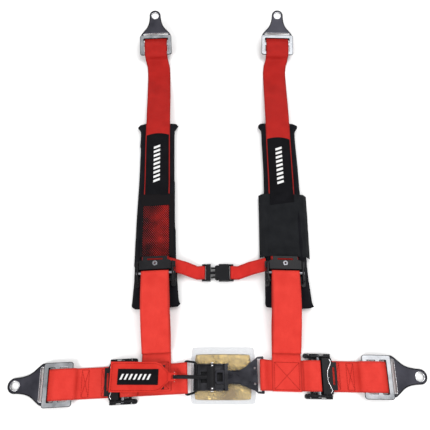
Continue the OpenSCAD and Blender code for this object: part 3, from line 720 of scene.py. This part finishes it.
# sleeves and labels
def drapedSheet(name, which, xs, ys, heightOf, material, replaced, thick, waves=0.3, seed=3):
    # a grid across and along, lying at heightOf(x, y), given its cloth thickness afterwards
    x, y = np.meshgrid(xs, ys, indexing="ij")
    random = np.random.default_rng(seed)
    f = random.uniform(0, 6.3, 6)
    z = heightOf(x, y) + waves * (np.sin(y / 11 + f[0] + x / 23) * 0.5 + np.sin(y / 5.3 + f[1] - x / 17) * 0.25)
    points = toWorld(which, swayed(which, np.stack([x, y, z], -1)))
    uv = np.stack([x, y], -1) * mm
    obj = meshPiece(name, points, gridFaces(len(xs), len(ys)), material, "harness", uv, replaced)
    cloth = obj.modifiers.new("cloth", "SOLIDIFY")
    cloth.thickness = thick * mm
    cloth.offset = 1
    return obj


def overStrap(x, y, top=18.5, low=16.9, half=25.5, fall=5.0):
    # flat over the webbing, easing down to the pad beside it, and up where the webbing rises
    t = np.clip((np.abs(x) - half) / fall, 0, 1)
    t = t * t * (3 - 2 * t)
    rise = np.interp(y, [33, 42, 52, 64], [3.6, 3.5, 1.5, 0])
    return top + rise + (low - top - rise * 0.8) * t


mesh = drapedSheet("sleeve_net_left", 0, np.linspace(-33, 33, 67), np.linspace(33, 161, 120),
                   lambda x, y: overStrap(x, y), sleeveMesh, ["sleeve_left"], 0.5)
wrap = drapedSheet("sleeve_wrap_right", 1, np.linspace(-44.5, 49.5, 95), np.linspace(33, 161, 120),
                   lambda x, y: overStrap(x, y, 18.6, 17.3) - np.clip(np.abs(x - 2.5) - 38, 0, None) ** 1.35 * 0.55,
                   plainSleeve, ["sleeve_right"], 0.8, waves=0.5)
print("sleeves done")

labelFacts = {"low": (158, 141), "length": (142, 149), "half": 23, "arch": 60, "step": 161}
for which in range(2):
    low, length = labelFacts["low"][which], labelFacts["length"][which]
    half, arch = labelFacts["half"], labelFacts["arch"]
    side = "left" if which == 0 else "right"
    u, v = np.meshgrid(np.linspace(-1, 1, 40), np.linspace(0, 1, 90), indexing="ij")
    x = u * half
    top = low + length - arch + np.sqrt(arch ** 2 - x ** 2)
    y = low + (top - low) * v
    rise = np.interp(y, [labelFacts["step"], labelFacts["step"] + 10], [1.9, 0]) if which else 0
    y = y + (0.16 * x * np.clip((200 - y) / 40, 0, 1) if which else 0)
    z = 18.5 + rise + 0.10 * np.sin(y / 13 + which) + 0.06 * np.sin(x / 6)
    points = toWorld(which, swayed(which, np.stack([x, y, z], -1)))
    flap = meshPiece("label_flap_" + side, points, gridFaces(40, 90), labelCloth, "harness",
                     np.stack([x, y], -1) * mm, ["label_" + side])
    layer = flap.modifiers.new("cloth", "SOLIDIFY")
    layer.thickness = 0.0009
    layer.offset = 1
    # slanted bars stand in for the printed mark
    bars = []
    for k in range(9):
        s, t = np.meshgrid(np.linspace(-1, 1, 4), np.linspace(-1, 1, 14), indexing="ij")
        bx = -1 + t * 6.5
        by = low + length * (0.5 if which == 0 else 0.56) + (k - 4) * 9.5 + s * 2.6 + t * 2.4
        bz = 19.45 + 0.10 * np.sin(by / 13 + which) + 0.06 * np.sin(bx / 6)
        bars.append(toWorld(which, swayed(which, np.stack([bx, by, bz], -1))).reshape(-1, 3))
    faces = np.concatenate([gridFaces(4, 14) + 56 * k for k in range(9)])
    marks = meshPiece("label_marks_" + side, np.concatenate(bars), faces, markCloth, "harness")
    layer = marks.modifiers.new("print", "SOLIDIFY")
    layer.thickness = 0.00015
    layer.offset = 1
    edgeX, bottom = half - 2.2, low + 3
    crown = low + length - arch + math.sqrt(arch ** 2 - edgeX ** 2) - 2.5
    line, _ = evenPath([[-edgeX, bottom], [-edgeX, crown], [0, low + length - 2.6], [edgeX, crown], [edgeX, bottom],
                        [-edgeX, bottom]], 3.0, rounds=0)
    lift = np.where(line[:, 1] < labelFacts["step"] + 5, 1.5, 0) if which else 0
    seam = toWorld(which, swayed(which, np.column_stack([line, 19.5 + lift + 0 * line[:, 0]])))
    stitches("label_seam_" + side, seam[:-1], seam[1:], blackThread, "harness")
print("labels done")


# pad behind the buckle
foilFacts = {"low": (-39.5, -408), "high": (56.5, -334), "sleeveLow": (-46, -415), "sleeveHigh": (64, -322)}


def pillow(name, material, replaced, lowCorner, highCorner, floorZ, topZ, crease, seed, count):
    # an oblong pillow: thickness falls to nothing at the rim, with folded ridges on top
    s, t = np.meshgrid(np.linspace(-1, 1, count), np.linspace(-1, 1, count), indexing="ij")
    cx, cy = (lowCorner[0] + highCorner[0]) / 2, (lowCorner[1] + highCorner[1]) / 2
    hx, hy = (highCorner[0] - lowCorner[0]) / 2, (highCorner[1] - lowCorner[1]) / 2
    pull = 1 - 0.12 * 0.3 * (np.abs(s) ** 6 * np.abs(t) ** 6)
    x, y = cx + s * hx * pull, cy + t * hy * pull
    random = np.random.default_rng(seed)
    ridge = np.zeros_like(x)
    for _ in range(22):
        a, w, f = random.uniform(0, math.pi), random.uniform(5, 18), random.uniform(0, 6.3)
        along = (x * math.cos(a) + y * math.sin(a)) / w
        ridge += np.abs(np.sin(along + f + 0.5 * np.sin(y / 14 + f))) * random.uniform(-1, 1)
    ridge = ridge / np.abs(ridge).max()
    fat = np.clip((1 - s ** 8) * (1 - t ** 8), 0, 1) ** 0.5
    up = floorZ + (topZ - floorZ) * (0.10 + 0.62 * fat) + crease * ridge * fat
    down = floorZ + 0.02 * fat
    points = np.stack([np.concatenate([x.ravel(), x.ravel()]), np.concatenate([y.ravel(), y.ravel()]),
                       np.concatenate([up.ravel(), down.ravel()])], -1) * mm
    top = gridFaces(count, count)
    under = gridFaces(count, count)[:, ::-1] + count * count
    border = np.concatenate([np.arange(count - 1) * count, (count - 1) * count + np.arange(count - 1),
                             (np.arange(count - 1, 0, -1)) * count + count - 1, np.arange(count - 1, 0, -1)])
    nextOne = np.roll(border, -1)
    wall = np.stack([border, nextOne, nextOne + count * count, border + count * count], -1)
    faces = np.concatenate([top, under, wall])
    return outward(meshPiece(name, points, faces, material, "harness", None, replaced))


foil = pillow("foil_cushion", foilGold, ["buckle_pad"], foilFacts["low"], foilFacts["high"],
              floorZ=0.4, topZ=3.4, crease=0.35, seed=7, count=90)
pillow("film_sleeve", filmClear, ["buckle_sleeve"], foilFacts["sleeveLow"], foilFacts["sleeveHigh"],
       floorZ=0.05, topZ=4.0, crease=0.18, seed=9, count=60)
print("buckle pad done")

# stitched patches
stitchPitch = 2.6
seamThread = 0.0009


def boxStitch(name, which, low, high, half, height, cross=True):
    # a sewn box with its two diagonals, as pairs of points one stitch apart
    box = [[-half, low], [half, low], [half, high], [-half, high], [-half, low]]
    runs = [box] + ([[[-half, low], [half, high]], [[half, low], [-half, high]]] if cross else [])
    starts, ends = [], []
    for run in runs:
        line, _ = evenPath(run, stitchPitch, rounds=0)
        z = height(line[:, 1]) if callable(height) else np.full(len(line), float(height))
        points = np.column_stack([line, z])
        world = toWorld(which, points)
        starts.append(world[:-1])
        ends.append(world[1:])
    stitches(name, np.concatenate(starts), np.concatenate(ends), redThread, "harness", thick=seamThread)


for which in (2, 3):
    label = strapNames[which]
    top = hingeY[which]
    boxStitch("sewn_end_" + label, which, top - 69, top - 57, 21.5, 3.75)
    boxStitch("sewn_loop_" + label, which, 24.5, 37.5, 21.5,
              lambda y: np.interp(y, [24, 27, 31, 38], [6.0, 4.5, 3.65, 3.6]))
for which in range(2):
    label = strapNames[which]
    boxStitch("sewn_tail_" + label, which, -196, -152, 21.0, 5.55)
boxStitch("sewn_patch_lap_right", 3, -72, -30, 20.5, 3.75, cross=False)
print("stitching done")

# wires
latchFacts = {"x": -12, "y": -372, "length": 58.6, "wire": 1.9, "loopHalf": 27.3, "seatHalf": 23.7, "corner": 5.0}
seat = np.array([latchFacts["x"] - latchFacts["length"] / 2 + 4.4, latchFacts["y"], 8.4])
turn = math.radians(92.9)
barMid = np.array([-160 + 105 * math.sin(turn), -378.5 - 105 * math.cos(turn), 9.6])
acrossBar = np.array([math.cos(turn), math.sin(turn), 0])
seatSide = [0, latchFacts["seatHalf"], 0]
barSide = acrossBar * latchFacts["loopHalf"]
ends = [seat + seatSide, barMid + barSide, barMid - barSide, np.subtract(seat, seatSide)]
corners = []
for k in range(4):
    a, b, c = ends[k - 1], ends[k], ends[(k + 1) % 4]
    ab, cb = (a - b) / np.linalg.norm(a - b), (c - b) / np.linalg.norm(c - b)
    t = np.linspace(0, 1, 9)[:, None]
    reach = latchFacts["corner"]
    corners.append((1 - t) ** 2 * (b + ab * reach) + 2 * t * (1 - t) * b + t ** 2 * (b + cb * reach))
tube("wire_loop", np.concatenate(corners) * mm, latchFacts["wire"] * mm, darkSteel, "harness",
     ["latch_loop"], closed=True, sides=16)

springHalf = [[6.8, 14.4], [10, 15.5], [20, 20.3], [24, 20.8], [27, 18]]
for which in range(4):
    label = strapNames[which]
    z = baseZ[which] + (9.6 - 0.85 if which < 2 else 9.6 + 1.9 + 0.8)
    left = [[-x, y] for x, y in springHalf[::-1]]
    line, _ = evenPath(np.array(left + springHalf), 0.9)
    path = toWorld(which, np.column_stack([line, np.full(len(line), z)]))
    tube("spring_wire_" + label, path, 0.7 * mm, brightSteel, "cam_" + label, ["spring_" + label],
         sides=10)
print("wires done")


# anchor plates: rolled rim and bright hole edges
def platePoint(which, x, y, z=0.0):
    a = math.radians(riseOf[which])
    x, y, z = np.broadcast_arrays(np.asarray(x, float), y, z)
    return toWorld(which, np.stack([x + shiftOf[which], hingeY[which] + y * math.cos(a) - z * math.sin(a),
                                    hingeZ[which] + y * math.sin(a) + z * math.cos(a)], -1))


def slidePoint(which, x, y, z):
    a = math.radians(curlOf[which])
    x, y, z = np.broadcast_arrays(np.asarray(x, float), y, z)
    return toWorld(which, np.stack([x, hingeY[which] + y * math.cos(a) - z * math.sin(a),
                                    hingeZ[which] + y * math.sin(a) + z * math.cos(a)], -1))


plateSide = [[32.9, 1], [32.9, 8.6], [31.0, 12.2], [25.6, 18.6], [19.4, 25.4], [15.3, 32.8], [12.7, 42], [11.6, 52]]
for which in range(4):
    label = strapNames[which]
    body = "anchor_" + label
    beveled("plate_" + label, "plate_body_" + label, 0.0006, slateSteel, body, 3)
    rim = joined(plateSide, arcPoints(0, 55.5, 11.6, 0, 180, 16), [[-x, y] for x, y in plateSide[::-1]])
    line, _ = evenPath(rim, 1.6)
    tube("plate_rim_" + label, platePoint(which, line[:, 0], line[:, 1], 0.9), 1.15 * mm, darkSteel, body,
         sides=10)
    ring = arcPoints(0, 55.5, 7.9, 0, 360, 40)[:-1]
    tube("plate_hole_" + label, platePoint(which, ring[:, 0], ring[:, 1], 1.1), 0.62 * mm, brightSteel, body,
         closed=True, sides=8)
    slotEdge = joined(arcPoints(25.5, 11, 2.4, 0, 90, 4), arcPoints(-25.5, 11, 2.4, 90, 180, 4),
                      [[-27.9, 4], [27.9, 4]])
    line, _ = evenPath(np.vstack([slotEdge[-1:], slotEdge[:-1]]), 1.5, rounds=1)
    tube("plate_slot_" + label, platePoint(which, line[:, 0], line[:, 1], 1.2), 0.5 * mm, brightSteel, body,
         sides=8)
    beveled("slide_" + label, "slide_body_" + label, 0.0005, slideSteel, "harness", 2)
    for part, (x1, y0, y1, r) in {"outer": (35.0, -43.2, 5.2, 4), "inner": (27.6, -13.3, -2.2, 1.5)}.items():
        ring = joined(arcPoints(x1 - r, y1 - r, r, 0, 90, 5), arcPoints(-x1 + r, y1 - r, r, 90, 180, 5),
                      arcPoints(-x1 + r, y0 + r, r, 180, 270, 5), arcPoints(x1 - r, y0 + r, r, 270, 360, 5))
        line, _ = evenPath(np.vstack([ring, ring[:1]]), 1.5, rounds=0)
        line = line[:-1]
        tube("slide_edge_" + part + "_" + label, slidePoint(which, line[:, 0], line[:, 1], 7.2), 0.55 * mm, darkSteel,
             "harness", closed=True, sides=8)
print("anchors done")

# hardware with rounded edges
for which in range(4):
    label = strapNames[which]
    beveled("frame_" + label, "frame_body_" + label, 0.0004, blackSteel, "harness")
    beveled("lever_" + label, "lever_body_" + label, 0.0004, blackSteel, "cam_" + label)
    beveled("crossbar_" + label, "crossbar_body_" + label, 0.0003, greySteel, "harness")
hardware = [
    ("latch_base", 0.0006, latchSteel, "harness", "plate_steel"),
    ("latch_pin", 0.0003, brightSteel, "harness", "pin_steel"),
    ("latch_lever", 0.0006, blackSteel, "latch_arm", "adjuster_steel"),
    ("latch_link", 0.0007, linkSteel, "harness", "plate_steel"),
    ("chest_plug", 0.0012, clipPlastic, "harness", "clip_plastic"),
    ("chest_socket", 0.0012, clipPlastic, "harness", "clip_plastic"),
    ("chest_prong_front", 0.0008, clipPlastic, "prong_front", "clip_plastic"),
    ("chest_prong_back", 0.0008, clipPlastic, "prong_back", "clip_plastic"),
    ("tag_patch", 0.0005, hookTape, "tag", "hook_tape"),
    ("tag_label", 0.00025, labelCloth, "tag", "label_cloth"),
    ("release_tag", 0.0003, tagCloth, "tag", "webbing"),
    ("tag_pin", 0.0002, brightSteel, "tag", "pin_steel")]
for node, width, material, body, slot in hardware:
    beveled(node, node + "_body", width, material, body)
for node in ("grommet_shoulder_left", "grommet_shoulder_right"):
    bpy.data.objects[node].data.materials.clear()
    bpy.data.objects[node].data.materials.append(greySteel)
# a thin dark sheet under the latch: painted shade over the foil pad
s, t = np.meshgrid(np.linspace(-1, 1, 12), np.linspace(-1, 1, 8), indexing="ij")
shadeSheet = meshPiece("latch_shade_sheet", np.stack([-10 + s * 21, -372 + t * 12, 4.12 + 0 * s], -1) * mm, gridFaces(12, 8),
                   darkSteel, "harness")
layer = shadeSheet.modifiers.new("sheet", "SOLIDIFY")
layer.thickness = 0.0002
layer.offset = 1


# stitched border and slanted bars on the release tag, which lies level and then slopes up
def tagHeight(x):
    return np.interp(x, [-180, -154, -146, -132, -118, -82], [22.0, 22.0, 21.4, 18.5, 17.0, 17.0]) + 0.75


def tagLine(x, y):
    return np.stack([x, y - 372 + 0 * x, tagHeight(x)], -1) * mm


line, _ = evenPath([[-177, -21.5], [-106, -21.5], [-97, -18.5], [-89, -10.5], [-84, -5], [-84, 5], [-89, 10.5],
                    [-97, 18.5], [-106, 21.5], [-177, 21.5], [-177, -21.5]], stitchPitch, rounds=0)
seam = tagLine(line[:, 0], line[:, 1])
stitches("tag_seam", seam[:-1], seam[1:], redThread, "tag", thick=seamThread)
bars = []
for k in range(7):
    s, t = np.meshgrid(np.linspace(-1, 1, 4), np.linspace(-1, 1, 10), indexing="ij")
    bx, by = -160 + 7.4 * k + s * 1.7 + t * 2.0, t * 4.5
    bars.append((tagLine(bx, by) + [0, 0, 0.00098]).reshape(-1, 3))
marks = meshPiece("tag_marks", np.concatenate(bars), np.concatenate([gridFaces(4, 10) + 40 * k for k in range(7)]),
                  markCloth, "tag")
layer = marks.modifiers.new("print", "SOLIDIFY")
layer.thickness = 0.00015
layer.offset = 1
print("hardware done")

# floor and light
floorMesh = bpy.data.meshes.new("floor")
studio = {"ambient": 0.70, "floorTone": 0.92, "floorHalf": 30, "floorZ": -0.0004}
reach, depth = studio["floorHalf"], studio["floorZ"]
floorMesh.from_pydata([(-reach, -reach, depth), (reach, -reach, depth), (reach, reach, depth), (-reach, reach, depth)],
                      [], [(0, 1, 2, 3)])
floor = bpy.data.objects.new("floor", floorMesh)
bpy.context.scene.collection.objects.link(floor)
floorPaint, tree, shader = newMaterial("floorPaint")
shader.inputs["Base Color"].default_value = (*[studio["floorTone"]] * 3, 1)
shader.inputs["Roughness"].default_value = 0.8
floorMesh.materials.append(floorPaint)

bpy.context.scene.view_settings.view_transform = "Standard"  # plain colours, with no filmic curve
world = bpy.data.worlds.new("studio")
bpy.context.scene.world = world
world.use_nodes = True
world.node_tree.nodes["Background"].inputs["Color"].default_value = (1, 1, 1, 1)
world.node_tree.nodes["Background"].inputs["Strength"].default_value = studio["ambient"]


def softbox(name, place, aim, size, power):
    light = bpy.data.lights.new(name, "AREA")
    light.shape = "RECTANGLE"
    light.size, light.size_y = size
    light.energy = power
    obj = bpy.data.objects.new(name, light)
    obj.location = place
    obj.rotation_euler = (Vector(aim) - Vector(place)).to_track_quat("-Z", "Y").to_euler()
    bpy.context.scene.collection.objects.link(obj)


softbox("keyBox", (-0.9, -1.3, 1.5), (0, -0.1, 0), (1.1, 0.8), 21)
softbox("topBox", (0.5, 0.4, 1.8), (0, 0, 0), (1.4, 1.0), 15)
softbox("sideBox", (1.5, -0.6, 0.9), (0, -0.1, 0), (0.6, 0.9), 8)
print("lights done")
